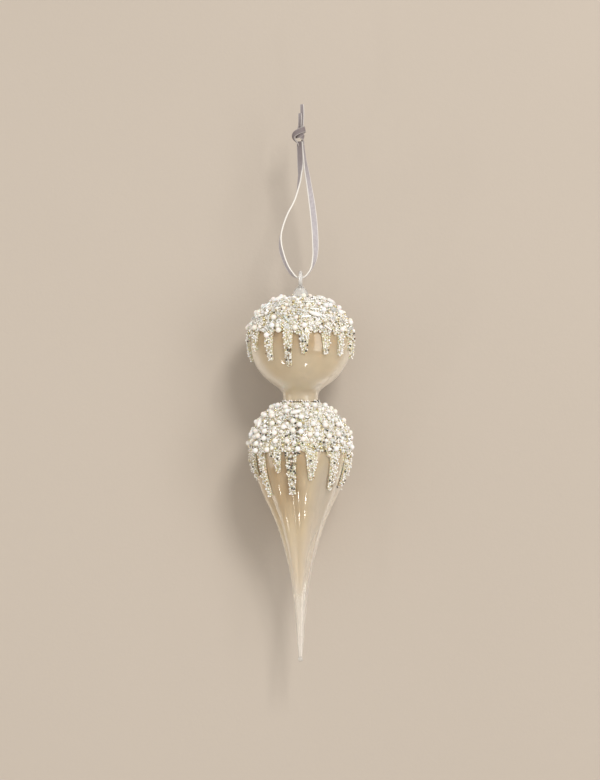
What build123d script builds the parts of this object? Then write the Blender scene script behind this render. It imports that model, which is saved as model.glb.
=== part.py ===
from build123d import *
import math
import os
import random

# Icicle hanging ornament: two blown-glass bulbs on one neck, the lower one drawn out
# into a long point, each bulb capped with a frost of pearls and beads set in glue.
# A velvet ribbon, tied in a knot above, carries it by a small glass ring.
#
# Millimetres, +Z up, +X to the right, the front faces -Y.
# The origin is the centre of the ribbon's knot, where the ornament is hung up.

# --- Driving dimensions --------------------------------------------------------------

# Ribbon
RIBBON_WIDTH = 4.0
RIBBON_THICKNESS = 1.2
KNOT_RADIUS = 3.2
TAIL_TOPS = {"left": 11.0, "right": 16.0}
TAIL_LEAN = 2.0          # degrees that each tail leans out

# Glass ring: its top rod lies along Y in the ribbon's bight, and is the sway axis
PIVOT_Z = -76.5
RING_RADIUS = 3.9        # to the centre of the rod
RING_ROD = 1.15
BIGHT_RADIUS = 3.05      # ribbon's centre line round the ring's top rod

# Glass body: the upper bulb is flatter above its equator, the lower one is a ball there
UPPER_RADIUS = 28.0
UPPER_RISE = 24.2
UPPER_BULB_Z = -114.7
LOWER_RADIUS = 26.7
LOWER_BULB_Z = -174.5
NECK_RADIUS = 9.6
NECK_FILLETS = {"upper": 4.0, "lower": 2.2}
GLASS_WALL = 0.9
PIP_RADIUS = 2.6         # the hole at the top, where the blowing tube was
CROWN_RADIUS = 6.2
CROWN_WAIST = (4.2, -87.6)
CROWN_NECK = 2.3         # radius of the crown where it meets the ring
TIP_DROP_RADIUS = 1.45
TIP_DROP_Z = -289.0

# Half-widths of the lower bulb's taper below its equator: (radius, z)
TAPER = [
    (25.3, -185.2),
    (21.8, -196.0),
    (14.8, -211.0),
    (9.7, -226.0),
    (6.0, -240.5),
    (3.7, -256.5),
    (2.4, -271.0),
]
TAPER_END = (0.95, -288.2)

# Glue and what is set in it
GLUE = 0.8
BEAD_GAP = 0.17
PEARL_RADIUS = 1.5
SMALL_PEARL_RADIUS = 1.05
RICE_LENGTH = 6.2
RICE_RADIUS = 1.25
RICE_END = 0.45          # radius of its blunt ends
BUGLE_LENGTH = 5.2
BUGLE_RADIUS = 0.65
BUGLE_BORE = 0.25
SEED_RADIUS = 1.0
SEED_HEIGHT = 1.3
SEED_BORE = 0.3
SEED_CHAMFER = 0.3
SEQUIN_RADIUS = 1.6
SEQUIN_BORE = 0.35
SEQUIN_THICKNESS = 0.25
CRYSTAL_RADIUS = 1.2
CRYSTAL_HEIGHT = 1.9
GOLD_RADIUS = 0.75
DRIP_BEAD_RADIUS = 0.85
DRIP_PITCH = 1.8         # between the beads of a drip
DRIP_TIP_WIDTH = 3.0
LEAN_FLOOR = 0.25        # how thinly pearls lie on the side they lean away from

# Frost caps, as distances along the glass from the top of each bulb
UPPER_CAP = (7.0, 35.4)
LOWER_CAP = (10.6, 41.6)
NECK_CLIMB = 2.0         # how far the lower cap's glue runs up the neck
LOBES = 24               # short scallops along each cap's lower edge

# Drips that run down from each cap's edge: (degrees from the front, width, length)
UPPER_DRIPS = [
    (-168, 6.5, 12.0), (-147, 5.5, 16.0), (-124, 7.5, 10.0), (-105, 5.5, 13.0),
    (-86, 6.0, 17.0), (-60, 7.0, 10.5), (-37, 6.0, 16.5), (-14, 6.5, 20.0),
    (4, 8.0, 12.5), (29, 7.5, 13.0), (50, 6.0, 13.5), (70, 5.5, 10.5),
    (91, 5.5, 15.0), (111, 7.5, 9.5), (132, 5.5, 18.0), (153, 7.0, 11.5),
    (172, 5.5, 16.5),
]
LOWER_DRIPS = [
    (-171, 7.0, 22.0), (-151, 5.5, 14.0), (-131, 8.0, 24.0), (-110, 5.5, 17.0),
    (-90, 5.5, 12.0), (-70, 5.5, 15.0), (-51, 5.5, 26.0), (-28, 6.5, 12.0),
    (-11, 7.5, 25.0), (13, 10.0, 16.0), (43, 8.0, 22.0), (69, 3.4, 20.0),
    (89, 6.5, 14.0), (109, 5.5, 22.5), (130, 8.5, 15.0), (150, 5.5, 25.0),
    (170, 7.0, 15.5),
]

# Pearls that stand out on each cap: (degrees from the front, mm along the glass)
UPPER_PEARLS = [
    (-90, 10), (10, 9), (90, 15), (54, 20), (-90, 20.5), (-74, 25), (65, 25), (90, 30),
    (-90, 34), (-60, 34), (-33, 33), (4, 33), (51, 35), (-38, 38), (-24, 35.5),
]
LOWER_PEARLS = [
    (-59, 14), (-77, 16), (-78, 21.5), (-90, 26.5), (-79, 33.5), (-90, 38), (68, 14), (77, 19.5),
    (88, 25.5), (90, 32.5), (76, 40), (-23, 19), (-31, 15.5), (-52, 20.5), (-10, 25.5), (1, 23),
    (-21, 29), (-39, 27), (-47, 31.5), (-9, 31), (-29, 36.5), (-57, 38), (-15, 36.5), (3, 35.5),
    (19, 33), (-3, 40.5), (-39, 41), (42, 40.5), (49, 33), (34, 34),
]
# Bugle beads that stand out on the upper cap, with how far each is turned
UPPER_BUGLES = [
    (21, 22, 85), (-46, 22, 30), (7, 27.5, 95), (-42, 29.5, 25), (41, 31, 25), (-17, 29, 40),
    (-72, 30, 60), (2, 23, 75),
]

# Ribbon loop's centre line, (x, z): down the right strand, round the bight under the
# ring's top rod, and up the left strand, which bellies out to the left.
BIGHT_Z = PIVOT_Z - BIGHT_RADIUS
LOOP_ROUTE = [
    (1.2, -4.4),
    (2.0, -13.5),
    (4.6, -28.0),
    (6.9, -43.0),
    (8.2, -58.0),
    (8.0, -70.5),
    (BIGHT_RADIUS, BIGHT_Z),
    (-BIGHT_RADIUS, BIGHT_Z),
    (-8.2, -72.5),
    (-12.0, -60.0),
    (-8.6, -46.5),
    (-2.6, -36.0),
    (-0.4, -25.5),
    (0.1, -14.5),
    (-0.6, -4.4),
]


# --- Helpers -------------------------------------------------------------------------

def bulb_top(radius):
    """Height of the upper bulb's outside at a radius."""
    return UPPER_BULB_Z + UPPER_RISE * math.sqrt(1 - (radius / UPPER_RADIUS) ** 2)


def bulb_profile(inset):
    """Half section of both bulbs and the neck, each surface moved in by inset."""
    upper = UPPER_RADIUS - inset
    rise = UPPER_RISE - inset
    lower = LOWER_RADIUS - inset
    neck = NECK_RADIUS - inset
    waist_z = UPPER_BULB_Z - math.sqrt(upper ** 2 - neck ** 2)
    shoulder_z = LOWER_BULB_Z + math.sqrt(lower ** 2 - neck ** 2)
    belly = upper * math.sqrt(0.5)
    with BuildSketch(Plane.XZ) as profile:
        with BuildLine():
            Line((0, UPPER_BULB_Z), (0, UPPER_BULB_Z + rise))
            EllipticalCenterArc((0, UPPER_BULB_Z), upper, rise, start_angle=0, arc_size=90)
            ThreePointArc((upper, UPPER_BULB_Z), (belly, UPPER_BULB_Z - belly), (neck, waist_z))
            Line((neck, waist_z), (neck, shoulder_z))
            ThreePointArc(
                (neck, shoulder_z),
                (lower * math.sin(math.pi / 3), LOWER_BULB_Z + lower * math.cos(math.pi / 3)),
                (lower, LOWER_BULB_Z),
            )
            points = [(lower, LOWER_BULB_Z)]
            points += [(radius - inset, z) for radius, z in TAPER if radius > inset + 0.5]
            if inset <= 0:
                points.append((TAPER_END[0] - inset, TAPER_END[1]))
            Spline(*points, tangents=[(0, -1), (-0.1, -1)])
            last_z = points[-1][1]
            Line(points[-1], (0, last_z))
            Line((0, last_z), (0, UPPER_BULB_Z))
        make_face()
        for fillet_radius, side in ((NECK_FILLETS["upper"], -1), (NECK_FILLETS["lower"], 0)):
            neck_ends = [v for v in profile.vertices() if abs(v.X - neck) < 0.01]
            fillet(ShapeList(neck_ends).sort_by(Axis.Y)[side], radius=fillet_radius + inset)
    return profile.sketch


def upper_outline():
    """The upper bulb's meridian, from its top down, along which its beads are set out."""
    belly = UPPER_RADIUS * math.sqrt(0.5)
    with BuildLine(Plane.XZ) as line:
        EllipticalCenterArc(
            (0, UPPER_BULB_Z), UPPER_RADIUS, UPPER_RISE, start_angle=90, arc_size=-90
        )
        ThreePointArc(
            (UPPER_RADIUS, UPPER_BULB_Z), (belly, UPPER_BULB_Z - belly),
            (0, UPPER_BULB_Z - UPPER_RADIUS),
        )
    return line.wire()


def lower_outline():
    """The lower bulb's meridian, from its top, inside the neck, down to the point."""
    shoulder = LOWER_RADIUS * math.sqrt(0.5)
    with BuildLine(Plane.XZ) as line:
        side = (LOWER_RADIUS, LOWER_BULB_Z)
        ThreePointArc((0, LOWER_BULB_Z + LOWER_RADIUS), (shoulder, LOWER_BULB_Z + shoulder), side)
        Spline(side, *TAPER, TAPER_END, tangents=[(0, -1), (-0.1, -1)])
    return line.wire()


def seat(line, along, azimuth, lift, turn=0.0):
    """Plane facing out from the glass: along mm down the outline, azimuth degrees from
    the front, lift mm above the glass, and turned in its own plane."""
    share = along / line.length
    point = line.position_at(share)
    tangent = line.tangent_at(share)
    normal = Vector(-tangent.Z, 0, tangent.X)
    place = Plane(origin=point + normal * lift, x_dir=tangent, z_dir=normal).location
    return Location((0, 0, 0), (0, 0, azimuth - 90)) * place * Location((0, 0, 0), (0, 0, turn))


def reach(place, half_length):
    """Points along a bead's own X axis that stand for its length when beads are spaced."""
    if half_length == 0:
        return [place.position]
    steps = [step / 4 for step in range(-4, 5)]
    return [(place * Location((half_length * step, 0, 0))).position for step in steps]


class Frost:
    """Sets out the beads of one bulb so that no two of them meet."""

    def __init__(self, line, cap, seed):
        self.line = line
        self.cap = cap
        self.draw = random.Random(seed)
        self.taken = []

    def fits(self, points, radius):
        for point in points:
            for other, other_radius in self.taken:
                if (point - other).length < radius + other_radius + BEAD_GAP:
                    return False
        return True

    def take(self, place, radius, half_length=0.0):
        points = reach(place, half_length)
        if not self.fits(points, radius):
            return False
        self.taken += [(point, radius) for point in points]
        return True

    def scatter(self, count, radius, lift, spread=0.0, half_length=0.0, lean=None):
        """Random seats over the cap. lean is an azimuth round which they lie closer."""
        places = []
        tries = 0
        while len(places) < count and tries < 60 * count:
            tries += 1
            along = self.draw.uniform(self.cap[0] + radius, self.cap[1])
            ring = self.line.position_at(along / self.line.length).X
            azimuth = self.draw.uniform(-180, 180)
            height = lift + self.draw.uniform(0, spread)
            turn = self.draw.uniform(0, 180)
            if self.draw.uniform(0, UPPER_RADIUS) > ring:
                continue
            if lean is not None:
                near = (1 + math.cos(math.radians(azimuth - lean))) / 2
                if self.draw.uniform(0, 1) > LEAN_FLOOR + (1 - LEAN_FLOOR) * near:
                    continue
            place = seat(self.line, along, azimuth, height, turn)
            if self.take(place, radius, half_length):
                places.append(place)
        return places

    def set_out(self, spots, radius, lift, half_length=0.0):
        """Seats at chosen spots, (azimuth, along) or with a turn as well."""
        places = []
        for azimuth, along, *turn in spots:
            place = seat(self.line, along, azimuth, lift, *turn)
            if self.take(place, radius, half_length):
                places.append(place)
        return places

    def drips(self, plan):
        """Staggered rows of beads, narrowing towards each drip's tip."""
        places = []
        lift = GLUE / 2 + DRIP_BEAD_RADIUS
        for azimuth, width, length in plan:
            rows = int(length / DRIP_PITCH)
            for row in range(1, rows + 1):
                share = row / rows
                row_width = width + (DRIP_TIP_WIDTH - width) * share
                along = self.cap[1] + length * share - DRIP_BEAD_RADIUS
                ring = self.line.position_at(along / self.line.length).X + lift
                across = max(1, int(row_width / DRIP_PITCH) - row % 2)
                for column in range(across):
                    offset = (column - (across - 1) / 2) * DRIP_PITCH
                    place = seat(self.line, along, azimuth + math.degrees(offset / ring), lift)
                    if self.take(place, DRIP_BEAD_RADIUS):
                        places.append(place)
        return places


def drip_tongue(azimuth, width, length, cap_edge, line):
    """Block that, cut with the glue skin, leaves one drip of glue below the cap."""
    top = line.position_at((cap_edge - width) / line.length).Z
    tip = line.position_at((cap_edge + length) / line.length).Z
    facing = Plane(origin=(0, 0, 0), x_dir=(1, 0, 0), z_dir=(0, -1, 0))
    with BuildPart() as tongue:
        with BuildSketch(facing.offset(UPPER_RADIUS / 2)):
            with Locations((0, top)):
                Circle(width / 2)
            with Locations((0, tip + DRIP_TIP_WIDTH / 2)):
                Circle(DRIP_TIP_WIDTH / 2)
            make_hull()
        extrude(amount=UPPER_RADIUS)
    return tongue.part.rotate(Axis.Z, azimuth)


def lobes(seed):
    """Short tongues all round, so that a cap's edge isn't a straight line."""
    draw = random.Random(seed)
    pitch = 360 / LOBES
    return [
        (pitch * (index + draw.uniform(-0.4, 0.4)), draw.uniform(4.5, 8), draw.uniform(0.6, 4.2))
        for index in range(LOBES)
    ]


def glue_bed(line, cap, plan, climb=0.0):
    """Skin of glue over the cap, from climb above its top, with a tongue under each drip."""
    edge_z = line.position_at(cap[1] / line.length).Z
    start_z = line.position_at(cap[0] / line.length).Z + climb
    with BuildPart() as mask:
        with Locations((0, 0, edge_z)):
            Cylinder(
                UPPER_RADIUS + 5, start_z - edge_z,
                align=(Align.CENTER, Align.CENTER, Align.MIN),
            )
        for azimuth, width, length in plan:
            add(drip_tongue(azimuth, width, length, cap[1], line))
    with BuildPart() as bed:
        add(glue_skin)
        add(mask.part, mode=Mode.INTERSECT)
    return bed.part


def group(bead, places):
    """The same bead at every place, each one a solid of its own."""
    with BuildPart() as beads:
        with Locations(*places):
            add(bead)
    return beads.part


def keep(part, name):
    """Label a finished piece and write its file."""
    part.label = name
    export_step(part, f"parts/{name}.step")


os.makedirs("parts", exist_ok=True)

# --- Ribbon --------------------------------------------------------------------------

with BuildPart() as ribbon_knot:
    Sphere(KNOT_RADIUS)

keep(ribbon_knot.part, "ribbon_knot")

for side, hand in ((-1, "left"), (1, "right")):
    root_z = KNOT_RADIUS / 2
    foot = Plane(origin=(side * RIBBON_THICKNESS * 0.6, 0, root_z)).rotated(
        (0, side * TAIL_LEAN, 0)
    )
    with BuildPart() as ribbon_tail:
        with BuildSketch(foot):
            RectangleRounded(RIBBON_THICKNESS, RIBBON_WIDTH, RIBBON_THICKNESS * 0.4)
        extrude(amount=TAIL_TOPS[hand] - root_z)
    keep(ribbon_tail.part, f"ribbon_tail_{hand}")

# Each corner's radius is 0.45 of its shorter run over the tangent of half the turn,
# and the two corners under the ring have the bight's own radius.
loop_radii = []
for before, corner, after in zip(LOOP_ROUTE, LOOP_ROUTE[1:], LOOP_ROUTE[2:]):
    arriving = Vector(*corner) - Vector(*before)
    leaving = Vector(*after) - Vector(*corner)
    half_turn = math.radians(arriving.get_angle(leaving)) / 2
    radius = 0.45 * min(arriving.length, leaving.length) / math.tan(half_turn)
    loop_radii.append(BIGHT_RADIUS * 0.98 if corner[1] == BIGHT_Z else radius)
print("ribbon corner radii", [round(radius, 1) for radius in loop_radii])

with BuildPart() as ribbon_loop:
    with BuildSketch(Plane.XZ):
        with BuildLine() as loop_line:
            FilletPolyline(*LOOP_ROUTE, radius=loop_radii)
        trace(line_width=RIBBON_THICKNESS)
    extrude(amount=RIBBON_WIDTH / 2, both=True)

loop_length = loop_line.wire().length
print("ribbon loop length", round(loop_length, 1))
print("loop volume", round(ribbon_loop.part.volume, 1), "section by length",
      round(loop_length * RIBBON_WIDTH * RIBBON_THICKNESS, 1))
keep(ribbon_loop.part, "ribbon_loop")

# --- Glass ---------------------------------------------------------------------------

ring_z = PIVOT_Z - RING_RADIUS
ring_low_z = ring_z - RING_RADIUS - RING_ROD

with BuildPart() as hanging_ring:
    with Locations(Location((0, 0, ring_z), (0, 90, 0))):
        Torus(RING_RADIUS, RING_ROD)

keep(hanging_ring.part, "hanging_ring")

# The crown is a clear pip: it flares on to the bulb, its stub plugs the blowing hole,
# and the ring is fused into its top.
with BuildPart() as glass_crown:
    with BuildSketch(Plane.XZ):
        stub_z = bulb_top(PIP_RADIUS) - GLASS_WALL - 1.2
        middle = (PIP_RADIUS + CROWN_RADIUS) / 2
        foot = (CROWN_RADIUS, bulb_top(CROWN_RADIUS))
        top_z = ring_low_z + 1.6 * RING_ROD
        with BuildLine():
            Polyline((0, stub_z), (PIP_RADIUS, stub_z), (PIP_RADIUS, bulb_top(PIP_RADIUS)))
            ThreePointArc((PIP_RADIUS, bulb_top(PIP_RADIUS)), (middle, bulb_top(middle)), foot)
            Spline(
                foot, CROWN_WAIST, (CROWN_NECK, top_z - CROWN_NECK / 2), (0, top_z),
                tangents=[(-1, 0.5), (-1, 0)],
            )
            Line((0, top_z), (0, stub_z))
        make_face()
    revolve(axis=Axis.Z)

keep(glass_crown.part, "glass_crown")

with BuildPart() as glass_body:
    add(bulb_profile(0))
    revolve(axis=Axis.Z)
    with BuildPart(mode=Mode.PRIVATE) as hollow:
        add(bulb_profile(GLASS_WALL))
        revolve(axis=Axis.Z)
    add(hollow.part, mode=Mode.SUBTRACT)
    with Locations((0, 0, UPPER_BULB_Z)):
        Cylinder(
            PIP_RADIUS, UPPER_RISE + 1,
            align=(Align.CENTER, Align.CENTER, Align.MIN), mode=Mode.SUBTRACT,
        )

keep(glass_body.part, "glass_body")

with BuildPart() as tip_drop:
    with Locations((0, 0, TIP_DROP_Z)):
        Sphere(TIP_DROP_RADIUS)

keep(tip_drop.part, "tip_drop")

# --- Glue ----------------------------------------------------------------------------

with BuildPart() as glue_skin:
    add(bulb_profile(-GLUE))
    revolve(axis=Axis.Z)
    with BuildPart(mode=Mode.PRIVATE) as glass_solid:
        add(bulb_profile(0))
        revolve(axis=Axis.Z)
    add(glass_solid.part, mode=Mode.SUBTRACT)
glue_skin = glue_skin.part

upper_line = upper_outline()
lower_line = lower_outline()
print("outlines start", upper_line.position_at(0), lower_line.position_at(0))

keep(glue_bed(upper_line, UPPER_CAP, UPPER_DRIPS + lobes(3)), "upper_glue_bed")
keep(glue_bed(lower_line, LOWER_CAP, LOWER_DRIPS + lobes(4), NECK_CLIMB), "lower_glue_bed")

# --- Beads ---------------------------------------------------------------------------

with BuildPart() as pearl:
    Sphere(PEARL_RADIUS)

with BuildPart() as small_pearl:
    Sphere(SMALL_PEARL_RADIUS)

with BuildPart() as rice_pearl:
    with BuildSketch(Plane.XY):
        with BuildLine():
            end = RICE_LENGTH / 2
            Polyline((-end, RICE_END), (-end, 0), (end, 0), (end, RICE_END))
            ThreePointArc((-end, RICE_END), (0, RICE_RADIUS), (end, RICE_END))
        make_face()
    revolve(axis=Axis.X)

with BuildPart() as bugle:
    with Locations(Rotation(0, 90, 0)):
        Cylinder(BUGLE_RADIUS, BUGLE_LENGTH)
        chamfer(edges(), length=BUGLE_RADIUS / 4)
        Cylinder(BUGLE_BORE, BUGLE_LENGTH, mode=Mode.SUBTRACT)

with BuildPart() as seed_bead:
    Cylinder(SEED_RADIUS, SEED_HEIGHT)
    chamfer(edges(), length=SEED_CHAMFER)
    Cylinder(SEED_BORE, SEED_HEIGHT, mode=Mode.SUBTRACT)

with BuildPart() as sequin:
    Cylinder(SEQUIN_RADIUS, SEQUIN_THICKNESS)
    Cylinder(SEQUIN_BORE, SEQUIN_THICKNESS, mode=Mode.SUBTRACT)

with BuildPart() as crystal:
    with BuildSketch(Plane.XY) as girdle:
        RegularPolygon(CRYSTAL_RADIUS, 6)
    with BuildSketch(Plane.XY.offset(CRYSTAL_HEIGHT / 2)):
        RegularPolygon(CRYSTAL_RADIUS / 2, 6)
    loft()
    mirror(about=Plane.XY)

with BuildPart() as gold_bead:
    Sphere(GOLD_RADIUS)

with BuildPart() as drip_bead:
    Sphere(DRIP_BEAD_RADIUS)

SUNK = GLUE / 2          # how far above the glass the beads' undersides lie in the glue
PEARL_LIFT = SUNK + PEARL_RADIUS
PROUD_LIFT = PEARL_LIFT + 0.35       # of the pearls that stand out
BUGLE_LIFT = SUNK + BUGLE_RADIUS + 0.3
BUGLE_HALF = BUGLE_LENGTH / 2 - 0.7 * BUGLE_RADIUS      # its corners are outside its capsule

# Each bulb's outline, cap, drips, pearls and bugles set by hand, seed, the side its other
# pearls lean to, and how many more of each bead there are
MIXES = {
    "upper": (
        upper_line, UPPER_CAP, UPPER_DRIPS, UPPER_PEARLS, UPPER_BUGLES,
        11, 180, (28, 50, 8, 8, 90, 20, 30, 40),
    ),
    "lower": (
        lower_line, LOWER_CAP, LOWER_DRIPS, LOWER_PEARLS, [],
        23, -110, (52, 70, 6, 10, 90, 24, 28, 40),
    ),
}

for bulb, (line, cap, plan, own_pearls, own_bugles, seed, lean, counts) in MIXES.items():
    pearls, small_pearls, rice, bugles, seeds, sequins, crystals, golds = counts
    frost = Frost(line, cap, seed)
    own_bugle_places = frost.set_out(own_bugles, BUGLE_RADIUS, BUGLE_LIFT, BUGLE_HALF)
    own_pearl_places = frost.set_out(own_pearls, PEARL_RADIUS, PROUD_LIFT)
    drips = frost.drips(plan)
    sets = {
        "large_pearls": (pearl, own_pearl_places + frost.scatter(
            pearls, PEARL_RADIUS, PEARL_LIFT, spread=0.8, lean=lean)),
        "rice_pearls": (rice_pearl, frost.scatter(
            rice, RICE_RADIUS, SUNK + RICE_RADIUS + 0.3, 0.8, RICE_LENGTH / 2 - RICE_RADIUS)),
        "bugle_beads": (bugle, own_bugle_places + frost.scatter(
            bugles, BUGLE_RADIUS, BUGLE_LIFT, 0.6, BUGLE_HALF)),
        "small_pearls": (small_pearl, frost.scatter(
            small_pearls, SMALL_PEARL_RADIUS, SUNK + SMALL_PEARL_RADIUS, spread=0.8)),
        "sequins": (sequin, frost.scatter(
            sequins, SEQUIN_RADIUS, GLUE + SEQUIN_THICKNESS)),
        "crystal_chips": (crystal, frost.scatter(
            crystals, CRYSTAL_RADIUS, SUNK + CRYSTAL_HEIGHT / 2, spread=0.6)),
        "seed_beads": (seed_bead, frost.scatter(
            seeds, SEED_RADIUS, SUNK + SEED_HEIGHT / 2, spread=0.6)),
        "gold_beads": (gold_bead, frost.scatter(
            golds, GOLD_RADIUS, SUNK + GOLD_RADIUS, spread=0.8)),
        "drip_beads": (drip_bead, drips),
    }
    for kind, (bead, places) in sets.items():
        print(bulb, kind, len(places))
        keep(group(bead.part, places), f"{bulb}_{kind}")
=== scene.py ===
"""Looks of the icicle hanging ornament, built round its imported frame.

Metres, +Z up, the front faces -Y. Routes and small sizes are written in mm, times MM.
"""
import itertools
import math

import bmesh
import bpy
import numpy as np
from mathutils import Matrix, Vector, noise
from mathutils.bvhtree import BVHTree


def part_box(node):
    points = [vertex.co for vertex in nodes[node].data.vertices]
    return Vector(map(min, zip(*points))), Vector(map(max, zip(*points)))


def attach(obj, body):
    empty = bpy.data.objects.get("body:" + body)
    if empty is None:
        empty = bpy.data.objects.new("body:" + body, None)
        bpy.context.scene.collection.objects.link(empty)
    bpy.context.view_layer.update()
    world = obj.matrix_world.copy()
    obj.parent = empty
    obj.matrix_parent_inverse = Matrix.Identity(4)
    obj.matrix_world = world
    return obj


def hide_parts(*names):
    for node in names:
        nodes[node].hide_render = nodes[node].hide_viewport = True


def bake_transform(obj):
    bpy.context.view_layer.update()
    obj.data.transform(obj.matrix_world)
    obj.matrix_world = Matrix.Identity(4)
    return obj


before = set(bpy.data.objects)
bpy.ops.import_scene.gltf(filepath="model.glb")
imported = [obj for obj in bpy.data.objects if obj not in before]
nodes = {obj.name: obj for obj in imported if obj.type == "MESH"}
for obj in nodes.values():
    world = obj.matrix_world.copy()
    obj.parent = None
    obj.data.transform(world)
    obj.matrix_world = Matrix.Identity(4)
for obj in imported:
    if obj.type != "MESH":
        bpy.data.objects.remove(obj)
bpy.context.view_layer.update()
scene = bpy.context.scene
MM = 0.001


# --- Small tools ---------------------------------------------------------------------

def smoothstep(low, high, value):
    """0 below low, 1 above high, and a smooth rise between."""
    share = np.clip((value - low) / (high - low), 0, 1)
    return share * share * (3 - 2 * share)


def keyed(keys, value):
    """Value read off a short list of (place, value) pairs, smoothed between them."""
    for (place_a, value_a), (place_b, value_b) in zip(keys, keys[1:]):
        if value <= place_b:
            share = float(smoothstep(place_a, place_b, value))
            return value_a + (value_b - value_a) * share
    return keys[-1][1]


def new_object(name, verts, faces, material, smooth=True):
    """Mesh object from lists or arrays of points and faces."""
    mesh = bpy.data.meshes.new(name)
    mesh.from_pydata([tuple(v) for v in verts], [], [tuple(int(i) for i in f) for f in faces])
    mesh.update()
    mesh.shade_smooth() if smooth else mesh.shade_flat()
    mesh.materials.append(material)
    piece = bpy.data.objects.new(name, mesh)
    scene.collection.objects.link(piece)
    return piece


def point_values(piece, name, values):
    """Puts one number at each of a mesh's points, for its material to read."""
    layer = piece.data.attributes.new(name, "FLOAT", "POINT")
    layer.data.foreach_set("value", values)


def tube_faces(rings, around):
    """Quads between rings of points, and a face over each end."""
    faces = []
    for ring in range(rings - 1):
        for step in range(around):
            after = (step + 1) % around
            faces.append((
                ring * around + step, ring * around + after,
                (ring + 1) * around + after, (ring + 1) * around + step,
            ))
    faces.append(tuple(reversed(range(around))))
    faces.append(tuple((rings - 1) * around + step for step in range(around)))
    return faces


def resample(points, count):
    """The same line as count points an equal distance apart."""
    points = np.array([tuple(p) for p in points])
    steps = np.linalg.norm(np.diff(points, axis=0), axis=1)
    along = np.concatenate([[0], np.cumsum(steps)])
    wanted = np.linspace(0, along[-1], count)
    return np.stack([np.interp(wanted, along, points[:, axis]) for axis in range(3)], axis=1)


def joined(name, pieces):
    """Several objects as one mesh."""
    with bpy.context.temp_override(active_object=pieces[0], selected_editable_objects=pieces):
        bpy.ops.object.join()
    pieces[0].name = pieces[0].data.name = name
    return pieces[0]


def line_of(name, route, count):
    """Points read from the route's own smooth NURBS line."""
    curve = bpy.data.curves.new(name, "CURVE")
    curve.dimensions = "3D"
    spline = curve.splines.new("NURBS")
    spline.points.add(len(route) - 1)
    for point, place in zip(spline.points, route):
        point.co = (*[value * MM for value in place], 1)
    spline.order_u = 3
    spline.use_endpoint_u = True
    spline.resolution_u = 16
    guide = bpy.data.objects.new(name, curve)
    scene.collection.objects.link(guide)
    mesh = bpy.data.meshes.new_from_object(guide)
    points = [v.co.copy() for v in mesh.vertices]
    bpy.data.objects.remove(guide)
    bpy.data.meshes.remove(mesh)
    return resample(points, count)


# --- Camera --------------------------------------------------------------------------

VIEW_HEIGHT = 0.429          # of the view, at the ornament
CAMERA_AWAY = 1.6
CAMERA_X = -0.0003
CAMERA_Z = -0.1411
SENSOR = 36.0

camera = bpy.data.objects.new("camera", bpy.data.cameras.new("camera"))
scene.collection.objects.link(camera)
camera.data.sensor_width = SENSOR
camera.data.lens = SENSOR * CAMERA_AWAY / VIEW_HEIGHT
camera.location = (CAMERA_X, -CAMERA_AWAY, CAMERA_Z)
camera.rotation_euler = (math.pi / 2, 0, 0)
camera.data.clip_start = 0.05
scene.camera = camera


# --- Materials -----------------------------------------------------------------------

# The mix node's colour sockets, which share their names with its other ones
MIX_A, MIX_B, MIX_RESULT = 6, 7, 2


def principled(name, **values):
    """New material, with the shader's own sockets set by name: base_color=..., roughness=..."""
    material = bpy.data.materials.new(name + "_look")
    material.use_nodes = True
    shader = material.node_tree.nodes["Principled BSDF"]
    for key, value in values.items():
        socket = shader.inputs[key.replace("_", " ").title().replace("Ior", "IOR")]
        socket.default_value = (*value, 1) if isinstance(value, tuple) else value
    return material


def node(material, kind, **values):
    """Adds a node; values are its inputs by name, or its own settings in lower case."""
    made = material.node_tree.nodes.new(kind)
    for key, value in values.items():
        if key in made.inputs:
            made.inputs[key].default_value = value
        else:
            setattr(made, key, value)
    return made


def link(material, source, output, target, socket):
    material.node_tree.links.new(source.outputs[output], target.inputs[socket])


def shader_of(material):
    return material.node_tree.nodes["Principled BSDF"]


def noise_of(material, scale, detail=3.0, roughness=0.5):
    """Noise texture in the object's own coordinates, scale in waves per metre."""
    place = node(material, "ShaderNodeTexCoord")
    texture = node(material, "ShaderNodeTexNoise", Scale=scale, Detail=detail, Roughness=roughness)
    link(material, place, "Object", texture, "Vector")
    return texture


def ramp_of(material, source, output, stops, constant=False):
    """Colour ramp from a value to the shader's base colour, blended or in steps."""
    ramp = node(material, "ShaderNodeValToRGB")
    ramp.color_ramp.interpolation = "CONSTANT" if constant else "LINEAR"
    while len(ramp.color_ramp.elements) < len(stops):
        ramp.color_ramp.elements.new(0.5)
    for element, (place, colour) in zip(ramp.color_ramp.elements, stops):
        element.position = place
        element.color = (*colour, 1)
    link(material, source, output, ramp, "Fac")
    link(material, ramp, "Color", shader_of(material), "Base Color")
    return ramp


def mixed(material, attribute, source, output, colour):
    """Base colour that goes from a source's to another colour by one of the mesh's attributes."""
    factor = node(material, "ShaderNodeAttribute", attribute_name=attribute)
    mix = node(material, "ShaderNodeMix", data_type="RGBA")
    mix.inputs[MIX_B].default_value = (*colour, 1)
    link(material, factor, "Fac", mix, "Factor")
    link(material, source, output, mix, MIX_A)
    link(material, mix, MIX_RESULT, shader_of(material), "Base Color")
    return mix


def bump_of(material, source, output, strength, distance):
    """Small relief from a value, its height in metres."""
    bump = node(material, "ShaderNodeBump", Strength=strength, Distance=distance)
    link(material, source, output, bump, "Height")
    link(material, bump, "Normal", shader_of(material), "Normal")


def per_island(material, stops):
    """A different colour for each bead."""
    geometry = node(material, "ShaderNodeNewGeometry")
    ramp_of(material, geometry, "Random Per Island", stops, constant=True)


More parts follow.
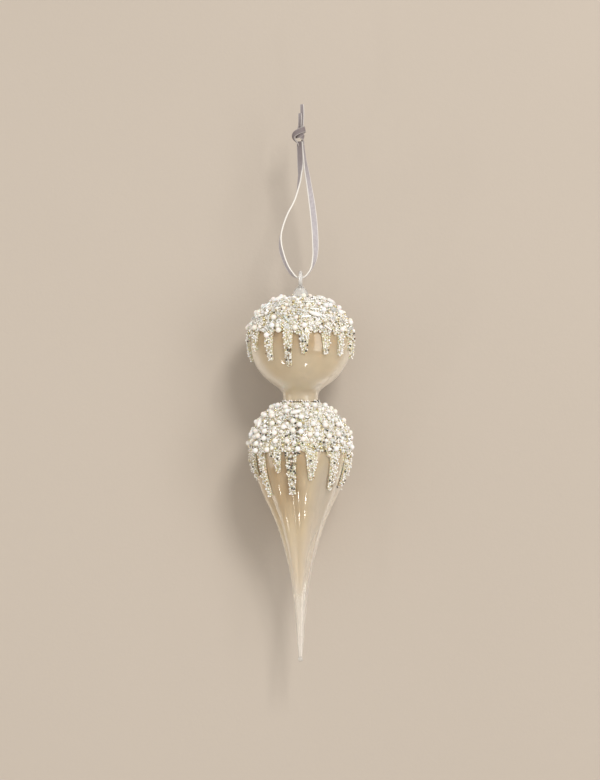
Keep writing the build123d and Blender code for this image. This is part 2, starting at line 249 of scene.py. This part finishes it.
def velvet_material():
    """Velvet ribbon: a short mauve-grey pile with painted shade at the knot, its tails and up the
    left strand, between pale satin edges whose brightness is partly painted sheen."""
    material = principled(
        "velvet_ribbon", roughness=0.62, sheen_weight=0.35, sheen_roughness=0.35,
        sheen_tint=(0.95, 0.92, 0.95), specular_ior_level=0.25,
    )
    pile = noise_of(material, 700.0, detail=4.0)
    face = ramp_of(material, pile, "Fac", [(0.25, (0.42, 0.385, 0.40)), (0.75, (0.55, 0.52, 0.54))])
    # Painted shade: the face goes towards a deep mauve as far as the painted_shade attribute says
    face = mixed(material, "painted_shade", face, "Color", (0.20, 0.165, 0.165))
    # Pale satin edges: partly the selvedge's own colour, partly painted sheen
    mixed(material, "satin_edge_and_sheen", face, MIX_RESULT, (0.88, 0.85, 0.79))
    fibre = noise_of(material, 4200.0, detail=2.0)
    bump_of(material, fibre, "Fac", 0.4, 0.0002)
    return material


def lustre_material():
    """Thin blown glass under a champagne lustre, as deep as the mesh's lustre attribute says, whose
    pale bands down the taper are partly painted reflection.
    """
    material = principled(
        "lustre_glass", roughness=0.25, ior=1.14, coat_weight=1.0, coat_roughness=0.04,
        coat_ior=1.7, sheen_weight=0.3, sheen_roughness=0.4, sheen_tint=(1.0, 0.95, 0.86),
    )
    depth = node(material, "ShaderNodeAttribute", attribute_name="lustre")
    ramp_of(material, depth, "Fac", [
        (0.0, (1.0, 0.98, 0.95)), (0.3, (0.96, 0.88, 0.75)), (0.6, (0.92, 0.80, 0.59)),
        (1.0, (0.70, 0.53, 0.315)),
    ])
    clearness = node(material, "ShaderNodeMapRange")
    clearness.inputs["To Min"].default_value = 0.78
    clearness.inputs["To Max"].default_value = 0.48
    link(material, depth, "Fac", clearness, "Value")
    link(material, clearness, "Result", shader_of(material), "Transmission Weight")
    ripple = noise_of(material, 60.0, detail=1.0)
    bump_of(material, ripple, "Fac", 0.05, 0.001)
    return material


def clear_glass_material(name, transmission, ior):
    """Colourless glass, a little milky. The lowest index is the thin crown's."""
    material = principled(
        name, base_color=(0.98, 0.975, 0.96), roughness=0.03, transmission_weight=transmission,
        ior=ior, coat_weight=1.0, coat_roughness=0.03, coat_ior=1.6,
    )
    seed = noise_of(material, 700.0, detail=1.0)
    bump_of(material, seed, "Fac", 0.15, 0.0002)
    return material


def pearl_material():
    material = principled(
        "pearl", roughness=0.28, coat_weight=0.7, coat_roughness=0.12, sheen_weight=0.2,
        subsurface_weight=0.15, subsurface_scale=0.002,
    )
    per_island(material, [
        (0.0, (0.92, 0.87, 0.80)), (0.25, (0.96, 0.94, 0.90)), (0.6, (0.95, 0.91, 0.87)),
        (0.85, (0.92, 0.91, 0.91)),
    ])
    return material


def satin_material():
    material = principled(
        "satin_white", roughness=0.3, coat_weight=0.5, coat_roughness=0.1,
        subsurface_weight=0.1, subsurface_scale=0.002,
    )
    per_island(material, [(0.0, (0.90, 0.88, 0.84)), (0.5, (0.94, 0.93, 0.90))])
    return material


def silver_lined_material():
    """Silver-lined glass beads: mostly bright, with smoky, gold and near-black ones."""
    material = principled(
        "silver_lined_glass", metallic=0.08, roughness=0.2, coat_weight=1.0, coat_roughness=0.03,
    )
    per_island(material, [
        (0.0, (0.96, 0.93, 0.87)), (0.30, (0.99, 0.98, 0.96)), (0.66, (0.92, 0.93, 0.95)),
        (0.76, (0.80, 0.72, 0.50)), (0.86, (0.50, 0.44, 0.36)), (0.90, (0.98, 0.95, 0.92)),
        (0.965, (0.03, 0.025, 0.02)),
    ])
    return material


def smoky_material():
    """Near-black and bronze glass beads."""
    material = principled("smoky_glass", roughness=0.15, coat_weight=1.0, coat_roughness=0.03)
    per_island(material, [
        (0.0, (0.015, 0.012, 0.01)), (0.4, (0.16, 0.10, 0.05)), (0.7, (0.34, 0.23, 0.12)),
        (0.85, (0.05, 0.04, 0.03)),
    ])
    return material


def foil_material():
    material = principled(
        "iridescent_foil", metallic=0.5, roughness=0.2, coat_weight=1.0, coat_roughness=0.05,
        thin_film_thickness=420.0, thin_film_ior=1.4,
    )
    per_island(material, [
        (0.0, (0.88, 0.88, 0.84)), (0.4, (0.80, 0.86, 0.84)), (0.7, (0.90, 0.84, 0.80)),
    ])
    return material


def crystal_material():
    material = principled(
        "crystal", roughness=0.05, transmission_weight=0.55, ior=1.6, coat_weight=0.5,
    )
    per_island(material, [(0.0, (0.95, 0.95, 0.93)), (0.6, (0.86, 0.88, 0.86))])
    return material


def gold_material():
    material = principled("pale_gold", metallic=1.0, roughness=0.22)
    per_island(material, [
        (0.0, (0.74, 0.66, 0.40)), (0.4, (0.64, 0.55, 0.31)), (0.7, (0.85, 0.78, 0.55)),
    ])
    return material


def glue_material():
    """Clear glue full of fine grit."""
    material = principled(
        "clear_glue", roughness=0.3, coat_weight=0.7, coat_roughness=0.08, metallic=0.05,
        subsurface_weight=0.2, subsurface_scale=0.002,
    )
    grit = noise_of(material, 1500.0, detail=4.0)
    ramp_of(material, grit, "Fac", [
        (0.36, (0.34, 0.27, 0.13)), (0.50, (0.76, 0.68, 0.46)), (0.64, (0.97, 0.94, 0.88)),
    ])
    bump_of(material, grit, "Fac", 0.6, 0.0004)
    return material


velvet = velvet_material()
lustre = lustre_material()
crown_glass = clear_glass_material("crown_glass", 0.65, 1.3)
# The ring's milky white share also stands for its bright glint: partly milky glass, partly painted
# highlight
ring_glass = clear_glass_material("ring_glass", 0.6, 1.4)
drop_glass = clear_glass_material("drop_glass", 0.8, 1.5)
pearl = pearl_material()
satin = satin_material()
silver_lined = silver_lined_material()
smoky = smoky_material()
foil = foil_material()
crystal = crystal_material()
gold = gold_material()
glue = glue_material()


# --- Ribbon --------------------------------------------------------------------------

RIBBON_THICKNESS = 1.1 * MM
BIGHT_RADIUS = 3.05
BIGHT_Z = -76.5 - BIGHT_RADIUS

# Loop's control points, (x, z) in mm: down the right strand, under the ring's top rod
# and up the left one.
LOOP_ROUTE = [
    (1.2, -4.4), (2.0, -13.5), (4.6, -28.0), (6.9, -43.0), (8.2, -58.0), (8.0, -70.5),
    (BIGHT_RADIUS, BIGHT_Z), (-BIGHT_RADIUS, BIGHT_Z), (-8.2, -72.5), (-12.0, -60.0),
    (-8.6, -46.5), (-2.6, -36.0), (-0.4, -25.5), (0.1, -14.5), (-0.6, -4.4),
]
# How far the ribbon is turned from edge-on to flat-on, in degrees, and how wide it is in mm,
# each by share of its length
LOOP_TURN = [(0.0, 14), (0.05, 22), (0.13, 46), (0.22, 60), (0.35, 64), (0.40, 45), (0.45, 8),
             (0.5, 0), (0.53, 34), (0.60, 34), (0.68, 4), (0.82, 4), (0.88, 25), (0.93, 58),
             (1.0, 66)]
LOOP_WIDTH = [(0, 3.0), (0.08, 3.6), (0.25, 4.0), (0.38, 3.9), (0.46, 3.0), (0.54, 3.0),
              (0.62, 3.8), (0.9, 4.0), (0.97, 3.6), (1, 3.0)]
# Painted shade along the loop: at the knot's ends, and more so up the left strand, which faces away
# from the light
LOOP_PAINTED_SHADE = [(0.0, 0.7), (0.06, 0.45), (0.20, 0.08), (0.40, 0.0), (0.80, 0.0), (0.88, 0.35),
                 (0.95, 0.8), (1.0, 0.9)]
SECTION_STEPS = 28
SECTION_SQUARENESS = 0.6     # 1 is an ellipse, 0 a rectangle
EDGE_FROM = 0.80             # of the half-width, where the satin edge begins
EDGE_BLUR = 0.08             # of the half-width
MIDDLE_THICKNESS = 0.62      # of the edge's thickness
WIDTH_UNEVENNESS = 0.03


def band(name, line, width_at, turn_at, shade_at, sides=None, thickness=RIBBON_THICKNESS):
    """Flat ribbon with thicker satin edges along a line. sides are the directions that its
    flat lies across, Y unless given, before it is turned about the line. shade_at says how
    much painted shade it has, which also dims its satin edges."""
    verts, satin, painted_shade = [], [], []
    count = len(line)
    tangents = np.gradient(line, axis=0)
    for index in range(count):
        share = index / (count - 1)
        side = Vector((0, 1, 0)) if sides is None else Vector(sides[index])
        tangent = Vector(tangents[index]).normalized()
        across = (side - tangent * side.dot(tangent)).normalized()
        across = Matrix.Rotation(math.radians(turn_at(share)), 3, tangent) @ across
        out = tangent.cross(across)
        uneven = noise.noise(Vector((index * 0.21, 3.7, 0)))
        width = width_at(share) * (1 + WIDTH_UNEVENNESS * uneven)
        centre = Vector(line[index])
        for step in range(SECTION_STEPS):
            angle = 2 * math.pi * step / SECTION_STEPS
            x, y = math.cos(angle), math.sin(angle)
            flat = math.copysign(abs(x) ** SECTION_SQUARENESS, x)
            edge = float(smoothstep(EDGE_FROM - EDGE_BLUR, EDGE_FROM + EDGE_BLUR, abs(flat)))
            body = MIDDLE_THICKNESS + (1 - MIDDLE_THICKNESS) * edge
            thick = math.copysign(abs(y) ** SECTION_SQUARENESS, y) * body * thickness / 2
            verts.append(centre + across * (flat * width / 2) + out * thick)
            # Painted shade dims the satin edge as well
            satin.append(edge * (1 - 0.8 * shade_at(share)))
            painted_shade.append(shade_at(share))
    piece = new_object(name, verts, tube_faces(count, SECTION_STEPS), velvet)
    point_values(piece, "satin_edge_and_sheen", satin)
    point_values(piece, "painted_shade", painted_shade)
    return piece


loop_line = line_of("loop_line", [(x, 0, z) for x, z in LOOP_ROUTE], 260)
ribbon_loop = band(
    "velvet_loop", loop_line,
    width_at=lambda share: keyed(LOOP_WIDTH, share) * MM,
    turn_at=lambda share: keyed(LOOP_TURN, share),
    shade_at=lambda share: keyed(LOOP_PAINTED_SHADE, share),
)
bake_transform(ribbon_loop)
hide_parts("ribbon_loop")


# Overhand knot: the ribbon comes up from the left strand, bellies out to the left, wraps round
# both strands and tucks up through itself, and the right strand runs up inside the wrap.
OVER_ROUTE = [
    (-0.4, 0.4, -6.2), (-2.4, -0.2, -4.6), (-4.0, -0.9, -2.6), (-3.6, -1.8, -0.6),
    (-1.2, -2.7, 0.9), (1.4, -2.3, 2.0), (2.6, -0.4, 2.3), (1.6, 1.8, 1.8), (-0.8, 2.4, 0.6),
    (-2.6, 1.4, -0.8), (-2.4, -0.8, -1.4), (-0.4, -1.9, -0.9), (1.3, -1.5, 0.5),
    (1.4, -0.2, 2.4), (1.0, 0.2, 4.2),
]
UNDER_ROUTE = [
    (0.9, 0.6, -6.4), (1.2, 0.4, -4.4), (1.5, -0.6, -2.6), (0.6, -1.4, -1.2), (-1.0, -0.8, 0.2),
    (-0.9, 0.7, 1.8), (-0.1, 0.9, 3.4), (0.1, 0.7, 4.6),
]


def flat_round_axis(line):
    """Directions for band() that lay a wrap's flat round the knot's upright axis."""
    tangents = np.gradient(line, axis=0)
    out = line * (1, 1, 0) + (0, 0, 1e-6)
    return np.cross(out, tangents)


def knot_wrap(name, route, count):
    """One strand of the knot, pulled narrower at its ends and rocking a little as it winds."""
    line = line_of(name, route, count)
    return band(
        name, line,
        width_at=lambda share: (3.3 - 0.5 * abs(2 * share - 1)) * MM,
        turn_at=lambda share: 12 * math.sin(9 * share),
        # Painted shade over the whole knot
        shade_at=lambda share: 0.92, sides=flat_round_axis(line),
    )


def knot_piece():
    wraps = [knot_wrap("knot_over", OVER_ROUTE, 150), knot_wrap("knot_under", UNDER_ROUTE, 90)]
    return joined("velvet_knot", wraps)


def tail_piece(name, route, width):
    """Tail above the knot, its width in mm, that turns and narrows towards its cut end."""
    return band(
        name, line_of(name + "_line", route, 60),
        width_at=lambda share: (width - 0.9 * share ** 2) * MM,
        turn_at=lambda share: 24 + 30 * share,
        # Painted shade, deepest at the knot and fading up the tail
        shade_at=lambda share: 0.85 - 0.35 * share, thickness=RIBBON_THICKNESS * 0.8,
    )


LEFT_TAIL_ROUTE = [(-0.2, 0.9, 1.0), (-0.4, 0.8, 4.0), (-0.1, 0.6, 7.5), (-0.3, 0.9, 11.2)]
RIGHT_TAIL_ROUTE = [(0.8, 0.1, 1.2), (0.7, 0.0, 5.0), (1.1, 0.1, 10.0), (0.8, 0.3, 16.0)]

knot = knot_piece()
tail_left = tail_piece("velvet_tail_left", LEFT_TAIL_ROUTE, 3.0)
tail_right = tail_piece("velvet_tail_right", RIGHT_TAIL_ROUTE, 3.2)
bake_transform(knot)
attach(tail_left, "knot")
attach(tail_right, "knot")
for piece, replaced in ((knot, "ribbon_knot"), (tail_left, "ribbon_tail_left"),
                        (tail_right, "ribbon_tail_right")):
    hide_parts(replaced)


# --- Glass body ----------------------------------------------------------------------

GLASS_WALL = 0.9 * MM
GLASS_LEVELS = 240           # rings of points down the outside
GLASS_AROUND = 192           # points round each ring
TOP_SHARE = 0.02             # of the height, where the rings stand closer
FLUTES = 8
FLUTE_CREST = 9.0            # degrees from the front to one flute's crest
FLUTE_DEPTH = 0.12           # of the radius, where the flutes are deepest
FLUTE_SOFTNESS = 0.03        # rounds the hollows between the lobes
# Shares of the way from the lower equator to the tip
FLUTES_RISE = (-0.02, 0.22)
FLUTES_FADE = (0.5, 0.95)
UPPER_EQUATOR = -0.1147
LOWER_EQUATOR = -0.1745
glass_low, glass_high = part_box("glass_body")
glass_tree = BVHTree.FromObject(nodes["glass_body"], bpy.context.evaluated_depsgraph_get())


def glass_radius(z):
    """Outer radius of the CAD glass at a height."""
    reach = glass_high.x + 0.01
    hit = glass_tree.ray_cast(Vector((reach, 0.0, z)), Vector((-1, 0, 0)))[0]
    return hit.x if hit else 0.0


def glass_outline():
    """Heights and radii down the CAD glass, smoothed between its own facets."""
    top, bottom = glass_high.z - 0.1 * MM, glass_low.z + 0.1 * MM
    levels_near_top = GLASS_LEVELS // 8
    near_top = TOP_SHARE * np.linspace(0, 1, levels_near_top, endpoint=False) ** 2
    below = np.linspace(TOP_SHARE, 1, GLASS_LEVELS - levels_near_top)
    heights = top + (bottom - top) * np.concatenate([near_top, below])
    radii = np.array([glass_radius(z) for z in heights])
    smooth = radii.copy()
    for _ in range(6):
        smooth[1:-1] = (smooth[:-2] + 2 * smooth[1:-1] + smooth[2:]) / 4
    return heights, smooth


def flute(azimuth, z):
    """Change of radius, as a share of it, by the lower bulb's soft lobes."""
    below = (LOWER_EQUATOR - z) / (LOWER_EQUATOR - glass_low.z)
    strength = smoothstep(*FLUTES_RISE, below) * (1 - smoothstep(*FLUTES_FADE, below))
    turn = math.radians(FLUTES * (azimuth - FLUTE_CREST) / 2)
    lobe = math.sqrt(math.cos(turn) ** 2 + FLUTE_SOFTNESS)
    return FLUTE_DEPTH * float(strength) * (lobe - 1.0)


# Depth of the lustre down the ornament: height, and depth from 0, clear, to 1, deep gold
LUSTRE_KEYS = [(-0.290, 0.05), (-0.262, 0.12), (-0.236, 0.42), (-0.205, 0.80), (-0.172, 1.0),
               (-0.150, 0.60), (-0.140, 0.55), (-0.126, 0.62), (-0.110, 1.0), (-0.085, 0.6)]
# Pale bands down the taper, one on the front's right flank: partly a thinner lustre, partly painted
# reflection of the light from the right
PALE_BANDS = 2
PALE_BAND = 56.0             # degrees from the front to one pale band
PALENESS = 0.65              # share of the lustre that a pale band lacks
TAPER_STARTS = (-0.195, -0.165)
STREAKS = 260                # waves per metre across a streak
STREAK_LENGTH = 22           # waves per metre along it
CLOUDS = 55                  # waves per metre


def lustre_and_reflection_depth(azimuth, place):
    """The lustre is thinner in clouds and towards the point, and paler and clearer in bands down
    the taper: partly a thinner lustre, partly painted reflection of the light from the right.
    """
    z = place[2]
    depth = keyed(LUSTRE_KEYS, z)
    reflection_band = math.cos(math.radians(PALE_BANDS * (azimuth - PALE_BAND))) / 2 + 0.5
    on_taper = 1 - float(smoothstep(*TAPER_STARTS, z))
    depth *= 1 - PALENESS * on_taper * float(smoothstep(0.3, 1.0, reflection_band))
    x, y, _ = place
    streak = noise.noise(Vector((x * STREAKS, y * STREAKS, z * STREAK_LENGTH)))
    cloud = noise.noise(Vector((x * CLOUDS, y * CLOUDS, z * CLOUDS + 4)))
    return min(max(depth * (1 + 0.12 * streak + 0.22 * cloud), 0), 1)


def glass_body_piece():
    """Both bulbs, neck and fluted point, with an inside wall where the glass is hollow."""
    outside = [(z, radius, 0.0) for z, radius in zip(*glass_outline())]
    inside = [(z, radius, GLASS_WALL) for z, radius, _ in outside if radius > 2.2 * GLASS_WALL]
    rings = inside[::-1] + outside
    verts, depths = [], []
    for z, radius, inset in rings:
        for step in range(GLASS_AROUND):
            azimuth = 360 * step / GLASS_AROUND
            reach = radius * (1 + flute(azimuth, z)) - inset
            angle = math.radians(azimuth)
            verts.append((reach * math.sin(angle), -reach * math.cos(angle), z))
            depths.append(lustre_and_reflection_depth(azimuth, verts[-1]))
    faces = tube_faces(len(rings), GLASS_AROUND)
    piece = new_object("lustre_glass_body", verts, faces, lustre)
    point_values(piece, "lustre", depths)
    return piece


glass_body = glass_body_piece()
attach(glass_body, "ornament")
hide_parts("glass_body")


# --- Beads and glue ------------------------------------------------------------------

BEAD_FINISH = {
    "large_pearls": pearl, "small_pearls": pearl, "rice_pearls": satin, "bugle_beads": foil,
    "seed_beads": silver_lined, "sequins": foil, "crystal_chips": crystal, "gold_beads": gold,
}


def set_material(name, material):
    """Gives a CAD node its only material."""
    nodes[name].data.materials.clear()
    nodes[name].data.materials.append(material)


def sphere_template(subdivisions):
    """Points and faces of a sphere of radius 1."""
    mesh = bpy.data.meshes.new("template")
    made = bmesh.new()
    bmesh.ops.create_icosphere(made, subdivisions=subdivisions, radius=1.0)
    made.to_mesh(mesh)
    made.free()
    points = np.array([v.co for v in mesh.vertices])
    faces = np.array([p.vertices for p in mesh.polygons])
    bpy.data.meshes.remove(mesh)
    return points, faces


BALL = sphere_template(2)
GRAIN = sphere_template(1)
FACING_OUT = 0.8             # cosine of the most that an outward face may lean


def many(name, template, places, sizes, material, draw, rough=0.0, smooth=True):
    """One mesh of many small beads, each turned its own way, rough making them uneven."""
    points, faces = template
    count, corners = len(places), len(points)
    turns = np.linalg.qr(draw.normal(size=(count, 3, 3)))[0]
    turns[:, :, 2] *= np.sign(np.linalg.det(turns))[:, None]
    shapes = points[None] * (1 + rough * draw.uniform(-1, 1, (count, corners, 1)))
    verts = np.einsum("nij,nkj->nki", turns, shapes) * sizes[:, None, None] + places[:, None, :]
    all_faces = faces[None] + corners * np.arange(count)[:, None, None]
    mesh = bpy.data.meshes.new(name)
    mesh.vertices.add(count * corners)
    mesh.vertices.foreach_set("co", verts.astype(np.float32).ravel())
    total = count * len(faces)
    mesh.loops.add(total * 3)
    mesh.loops.foreach_set("vertex_index", all_faces.astype(np.int32).ravel())
    mesh.polygons.add(total)
    mesh.polygons.foreach_set("loop_start", np.arange(0, total * 3, 3, dtype=np.int32))
    mesh.update(calc_edges=True)
    mesh.validate()
    mesh.shade_smooth() if smooth else mesh.shade_flat()
    mesh.materials.append(material)
    piece = bpy.data.objects.new(name, mesh)
    scene.collection.objects.link(piece)
    return piece


def outer_skin(name, equator):
    """Corners, normals and areas of a CAD glue bed's outward faces. Above the bulb's equator
    outward is away from its centre, and below it is level."""
    mesh = nodes[name].data
    mesh.calc_loop_triangles()
    points = np.array([v.co for v in mesh.vertices])
    triangles = np.array([t.vertices for t in mesh.loop_triangles])
    corners = points[triangles]
    cross = np.cross(corners[:, 1] - corners[:, 0], corners[:, 2] - corners[:, 0])
    area = np.linalg.norm(cross, axis=1) / 2
    normal = cross / np.maximum(2 * area[:, None], 1e-12)
    middle = corners.mean(axis=1)
    out = middle * (1, 1, 0)
    out[:, 2] = np.maximum(middle[:, 2] - equator, 0)
    out /= np.linalg.norm(out, axis=1)[:, None]
    facing = (normal * out).sum(axis=1) > FACING_OUT
    return corners[facing], normal[facing], area[facing]


def sown(corners, normals, areas, count, draw):
    """Points and normals spread evenly over faces."""
    chosen = draw.choice(len(areas), count, p=areas / areas.sum())
    u, v = draw.random((2, count, 1))
    u, v = np.where(u + v > 1, 1 - u, u), np.where(u + v > 1, 1 - v, v)
    a, b, c = (corners[chosen, k] for k in range(3))
    return a + u * (b - a) + v * (c - a), normals[chosen]


def kept_apart(places, sizes, closeness):
    """Which places to keep so that none is nearer another than closeness of their sizes."""
    cell = 2.2 * float(sizes.max())      # so only the cells next to a bead's own can matter
    steps = list(itertools.product((-1, 0, 1), repeat=3))
    grid, kept = {}, []
    for index, (place, size) in enumerate(zip(places, sizes)):
        x, y, z = (int(math.floor(value / cell)) for value in place)
        others = [
            other for dx, dy, dz in steps for other in grid.get((x + dx, y + dy, z + dz), ())
        ]
        if all(np.linalg.norm(place - places[other]) >= closeness * (size + sizes[other])
               for other in others):
            grid.setdefault((x, y, z), []).append(index)
            kept.append(index)
    return np.array(kept)


# Fine beads of the frost: share, smallest and largest radius in mm, template, material,
# unevenness, whether they are smooth, and the slot
FINE_BEADS = {
    "silver_micro_beads": (0.48, 0.42, 0.62, BALL, silver_lined, 0.0, True, "silver_lined_glass"),
    "crystal_grit": (0.29, 0.28, 0.55, GRAIN, silver_lined, 0.25, False, "silver_lined_glass"),
    "white_micro_pearls": (0.13, 0.45, 0.65, BALL, pearl, 0.0, True, "pearl"),
    "gold_micro_beads": (0.08, 0.35, 0.5, BALL, gold, 0.0, True, "pale_gold"),
    "smoky_micro_beads": (0.02, 0.45, 0.62, BALL, smoky, 0.0, True, "silver_lined_glass"),
}
# Where smoky beads gather: azimuth and half its width in degrees, top and bottom height in mm,
# and their share of the beads there
SMOKY_PATCHES = {
    "upper": [(4, 12, -111, -123, 0.12), (-11, 8, -117, -140, 0.14)],
    "lower": [(-4, 9, -158, -176, 0.25), (-11, 8, -175, -200, 0.32), (28, 14, -165, -175, 0.2)],
}
CANDIDATES = 15000           # places tried on each bulb
SUNK = 0.45                  # of a bead's radius, its middle's least height over the glue
PILED = 0.9                  # mm, the most that a bead sits above that
CLEARANCE = 0.5              # of a bead's radius, to the CAD beads
CLOSENESS = 0.92             # of two beads' radii together, the least between their middles


def smoky_share(bulb, places):
    """Share of the beads at each place that are smoky beyond the usual few."""
    azimuth = np.degrees(np.arctan2(places[:, 0], -places[:, 1]))
    share = np.zeros(len(places))
    for middle, half, top, bottom, most in SMOKY_PATCHES[bulb]:
        aside = np.clip(np.abs(azimuth - middle) / half, 0, 1)
        inside = (places[:, 2] < top * MM) & (places[:, 2] > bottom * MM)
        share = np.maximum(share, np.where(inside, most * (1 - aside ** 2), 0))
    return share


def free_of_beads(bulb, places, sizes):
    """Which places are clear of the bulb's CAD beads, neither too near one nor inside it."""
    trees = [
        BVHTree.FromObject(nodes[f"{bulb}_{kind}"], bpy.context.evaluated_depsgraph_get())
        for kind in BEAD_FINISH
    ]

    def blocked(tree, spot, size):
        hit, facing, _, gap = tree.find_nearest(spot, 3 * MM)
        return hit is not None and (gap < CLEARANCE * size or (spot - hit).dot(facing) < 0)

    return np.array([
        index for index, (place, size) in enumerate(zip(places, sizes))
        if not any(blocked(tree, Vector(place), size) for tree in trees)
    ])


def frost(bulb, equator, seed):
    """Fine beads and grit over one bulb's glue bed."""
    draw = np.random.default_rng(seed)
    corners, normals, areas = outer_skin(f"{bulb}_glue_bed", equator)
    places, outward = sown(corners, normals, areas, CANDIDATES, draw)
    names = list(FINE_BEADS)
    shares = np.array([FINE_BEADS[name][0] for name in names])
    kinds = draw.choice(len(names), CANDIDATES, p=shares / shares.sum())
    kinds[draw.random(CANDIDATES) < smoky_share(bulb, places)] = names.index("smoky_micro_beads")
    lows = np.array([FINE_BEADS[name][1] for name in names])[kinds] * MM
    highs = np.array([FINE_BEADS[name][2] for name in names])[kinds] * MM
    sizes = draw.uniform(lows, highs)
    lift = sizes * SUNK + draw.uniform(0, 1, CANDIDATES) ** 2 * PILED * MM
    places = places + outward * lift[:, None]
    free = free_of_beads(bulb, places, sizes)
    kept = free[kept_apart(places[free], sizes[free], CLOSENESS)]
    for number, name in enumerate(names):
        _, _, _, template, material, rough, smooth, slot = FINE_BEADS[name]
        mine = kept[kinds[kept] == number]
        piece = many(f"{bulb}_{name}", template, places[mine], sizes[mine], material, draw,
                     rough, smooth)
        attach(piece, "ornament")
        if name == "silver_micro_beads":
            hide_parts(f"{bulb}_drip_beads")


def on_glass(azimuth, z, lift):
    """Place a little off the glass, by degrees from the front and height."""
    angle = math.radians(azimuth)
    reach = glass_radius(z) * (1 + flute(azimuth, z)) + lift
    return reach * math.sin(angle), -reach * math.cos(angle), z


def bead_row(name, places, size):
    """A single row of smoky beads of about one radius."""
    draw = np.random.default_rng(4)
    sizes = size * draw.uniform(0.85, 1.1, len(places))
    row = many(name, BALL, np.array(places), sizes, smoky, draw)
    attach(row, "ornament")


NECK_BEADS = 62
NECK_ROW_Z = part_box("lower_glue_bed")[1].z + 0.3 * MM
DRIP_BEADS = 12
DRIP_AZIMUTH = 70            # at its top bead
DRIP_TOP = -0.1815
DRIP_STEP = 1.15 * MM
neck_places = [
    on_glass(360 * k / NECK_BEADS, NECK_ROW_Z, 0.3 * MM) for k in range(NECK_BEADS)
]
drip_places = [
    on_glass(DRIP_AZIMUTH - 0.4 * k, DRIP_TOP - DRIP_STEP * k, 0.35 * MM)
    for k in range(DRIP_BEADS)
]
bead_row("neck_bead_row", neck_places, 0.42 * MM)
bead_row("bronze_bead_drip", drip_places, 0.55 * MM)

for bulb, equator, seed in (("upper", UPPER_EQUATOR, 5), ("lower", LOWER_EQUATOR, 6)):
    for kind, material in BEAD_FINISH.items():
        set_material(f"{bulb}_{kind}", material)
    set_material(f"{bulb}_glue_bed", glue)
    frost(bulb, equator, seed)
for name, material in (("hanging_ring", ring_glass), ("glass_crown", crown_glass),
                       ("tip_drop", drop_glass)):
    set_material(name, material)


# --- Backdrop, floor and light -------------------------------------------------------

def wall_material():
    """Warm matt plaster. Its back face is clear, so that the ornament shows from behind."""
    material = principled("wall", roughness=0.95, specular_ior_level=0.1)
    stain = noise_of(material, 3.0, detail=3.0)
    ramp_of(material, stain, "Fac", [(0.3, (0.521, 0.460, 0.394)), (0.7, (0.543, 0.480, 0.412))])
    grain = noise_of(material, 500.0, detail=5.0)
    bump_of(material, grain, "Fac", 0.12, 0.0006)
    geometry = node(material, "ShaderNodeNewGeometry")
    clear = node(material, "ShaderNodeBsdfTransparent")
    mix = node(material, "ShaderNodeMixShader")
    link(material, geometry, "Backfacing", mix, "Fac")
    link(material, shader_of(material), "BSDF", mix, 1)
    link(material, clear, "BSDF", mix, 2)
    link(material, mix, "Shader", material.node_tree.nodes["Material Output"], "Surface")
    return material


WALL_Y = 0.034               # near enough for the shadow; a full swing backwards goes through it
WALL_SIDE = 1.5
WALL_TOP = 1.2
FLOOR_SIDE = 3
FLOOR_Z = -1.3
floor_material = principled("floor", base_color=(0.70, 0.66, 0.60), roughness=0.9)
wall = new_object(
    "wall",
    [(-WALL_SIDE, WALL_Y, FLOOR_Z), (WALL_SIDE, WALL_Y, FLOOR_Z),
     (WALL_SIDE, WALL_Y, WALL_TOP), (-WALL_SIDE, WALL_Y, WALL_TOP)],
    [(0, 1, 2, 3)], wall_material(), smooth=False,
)
floor = new_object(
    "floor",
    [(x * FLOOR_SIDE, y * FLOOR_SIDE, FLOOR_Z) for x, y in ((-1, -1), (1, -1), (1, 1), (-1, 1))],
    [(0, 1, 2, 3)], floor_material, smooth=False,
)


CENTRE = Vector((0, 0, -0.16))
KEY_WAY = Vector((0.36, -1.0, 0.73))     # towards the key light
LOW_WAY = Vector((0.2, -0.62, -0.81))    # towards the small light that glints on the point


def area_light(name, place, size, power, colour):
    """Rectangular light aimed at the ornament's middle: its size in metres, power in watts."""
    lamp = bpy.data.lights.new(name, "AREA")
    lamp.shape = "RECTANGLE"
    lamp.size, lamp.size_y = size
    lamp.energy = power
    lamp.color = colour
    light = bpy.data.objects.new(name, lamp)
    scene.collection.objects.link(light)
    light.location = place
    aim = CENTRE - Vector(place)
    light.rotation_euler = aim.to_track_quat("-Z", "Y").to_euler()


area_light("key", CENTRE + KEY_WAY * 1.6, (0.5, 0.5), 18, (1.0, 0.975, 0.94))
area_light("side", (1.4, -1.6, -0.1), (0.7, 1.6), 8, (1.0, 0.985, 0.97))
area_light("low", CENTRE + LOW_WAY * 1.1, (0.05, 0.10), 0.4, (1.0, 0.99, 0.97))
area_light("left fill", (-1.5, -0.35, -0.12), (0.5, 1.2), 2.4, (1.0, 0.97, 0.92))
area_light("left strip", (-0.81, -0.6, -1.05), (0.05, 0.18), 0.7, (1.0, 0.99, 0.97))

world = bpy.data.worlds.new("studio")
scene.world = world
world.use_nodes = True
background = world.node_tree.nodes["Background"]
background.inputs["Color"].default_value = (1.0, 0.975, 0.95, 1)
background.inputs["Strength"].default_value = 0.70
scene.view_settings.view_transform = "Standard"
